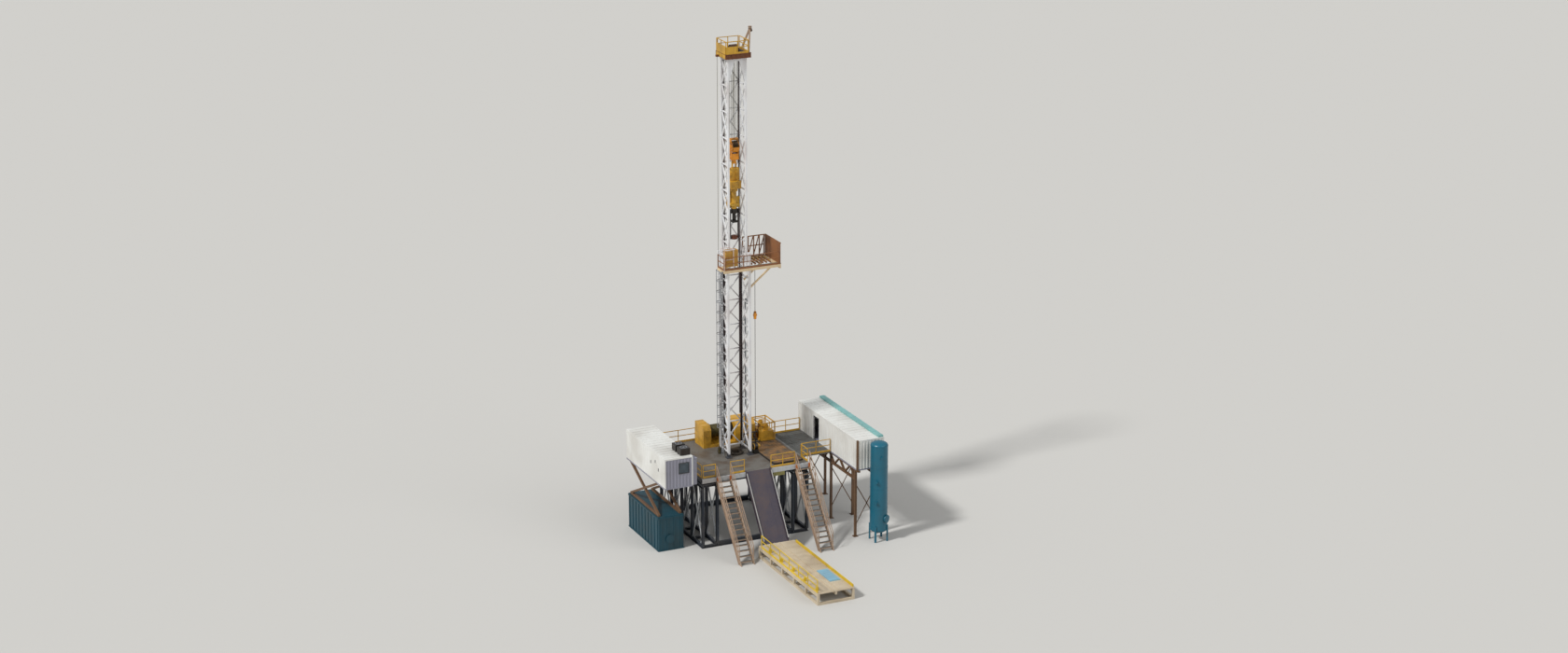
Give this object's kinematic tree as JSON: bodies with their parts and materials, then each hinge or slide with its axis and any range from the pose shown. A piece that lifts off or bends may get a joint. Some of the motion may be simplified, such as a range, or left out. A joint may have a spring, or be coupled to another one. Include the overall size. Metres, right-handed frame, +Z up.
{
  "type": "half-scale model of a land drilling rig",
  "caption": "Half-scale land drilling rig: slim telescoping mast with crown, top drive and racking board, raised floor, substructure, doghouse, long house, ramp, stairs and catwalk.",
  "frame": {"origin": "middle of the model's footprint on the ground", "axes": "+Z up, +X towards the off-driller's side with the long house, -Y towards the V-door and catwalk"},
  "size_m": [9.2, 11.8, 21.04],
  "materials": {
    "substructure_steel": "satin",
    "deck_plate": "worn",
    "mast_paint": "weathered satin",
    "grey_steel": "satin",
    "yellow_paint": "worn satin",
    "orange_paint": "satin",
    "brown_steel": "rusty",
    "dark_steel": "satin",
    "wire_rope": "greased",
    "house_white": "satin",
    "house_grey": "satin",
    "teal_paint": "satin",
    "ramp_plate": "scuffed",
    "beige_plate": "dusty",
    "timber": "worn",
    "window_glass": "clear"
  },
  "bodies": {
    "rig": {"left_side_box": "substructure_steel", "right_side_box": "substructure_steel", "spreaders": "substructure_steel", "floor_beams": "substructure_steel", "floor_deck": "deck_plate", "side_walkways": "deck_plate", "rotary_table": "dark_steel", "setback_mat": "timber", "floor_handrails": "yellow_paint", "mast_shoes": "dark_steel", "mast_lower_sides": "mast_paint", "mast_lower_back": "mast_paint", "mast_upper_sides": "mast_paint", "mast_upper_back": "mast_paint", "mast_portal": "mast_paint", "guide_rails": "grey_steel", "mast_ladder": "grey_steel", "standpipe": "grey_steel", "crown_platform": "brown_steel", "crown_sheaves": "brown_steel", "crown_rails": "yellow_paint", "gin_pole": "beige_plate", "drilling_lines": "wire_rope", "fast_and_dead_lines": "wire_rope", "racking_board": "beige_plate", "racking_fingers": "brown_steel", "board_panels": "brown_steel", "hoist_line": "dark_steel", "drawworks": "yellow_paint", "drawworks_drum": "dark_steel", "hydraulic_unit": "yellow_paint", "doghouse_floor": "house_grey", "doghouse_side_walls": "house_white", "doghouse_end_walls": "house_grey", "doghouse_roof": "house_white", "roof_units": "dark_steel", "side_cabinet": "house_grey", "water_tank_shell": "teal_paint", "water_tank_lid": "teal_paint", "house_supports": "brown_steel", "right_house_floor": "house_grey", "right_house_side_walls": "house_white", "right_house_end_walls": "house_white", "right_house_roof": "house_white", "vessel_shell": "teal_paint", "vessel_ends": "teal_paint", "window_panes": "window_glass", "vdoor_ramp": "ramp_plate", "stair_stringers": "beige_plate", "stair_treads_set": "deck_plate", "stair_handrails": "yellow_paint", "catwalk": "beige_plate", "catwalk_rails": "yellow_paint"},
    "traveller": {"travelling_block": "orange_paint", "block_sheave_set": "dark_steel", "top_drive": "yellow_paint", "dolly": "yellow_paint", "pipe_handler": "dark_steel", "lifting_links": "dark_steel", "elevator": "brown_steel"}
  },
  "joints": [
    {"name": "traveller_slide", "type": "slide", "parent": "rig", "child": "traveller", "axis": [0, 0, 1], "range_m": [-8.56, 2.6], "deforming": ["drilling_lines"]}
  ]
}
